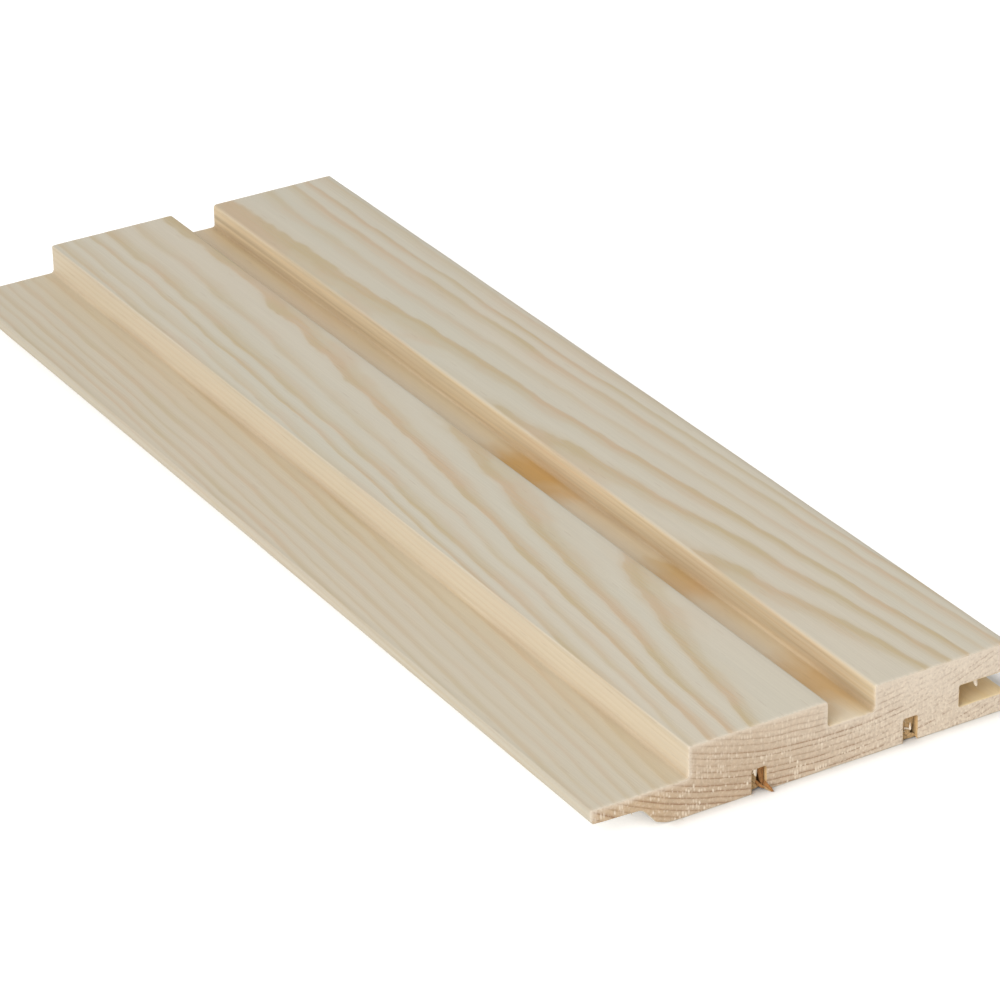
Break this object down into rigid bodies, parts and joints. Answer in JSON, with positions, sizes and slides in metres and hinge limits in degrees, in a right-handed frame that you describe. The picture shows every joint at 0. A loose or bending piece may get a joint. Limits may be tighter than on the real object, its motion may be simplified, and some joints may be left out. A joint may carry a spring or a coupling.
{
  "type": "tongue and groove board",
  "caption": "Planed softwood panel board with a long tongue on one edge, a slot in the other, a shadow channel down its face and relief kerfs in its back.",
  "frame": {"origin": "middle of the underside of the board's box, on the plane of the back face", "axes": "+X across the board, from the tongue to the slot; +Y along the board's length; +Z out of the show face"},
  "size_m": [0.095, 0.27, 0.015],
  "materials": {
    "planed_pine": "planed, untreated pale pine with soft tan growth lines and sawn end grain"
  },
  "bodies": {
    "root": {"tongue_and_groove_board": "planed_pine"}
  },
  "joints": []
}
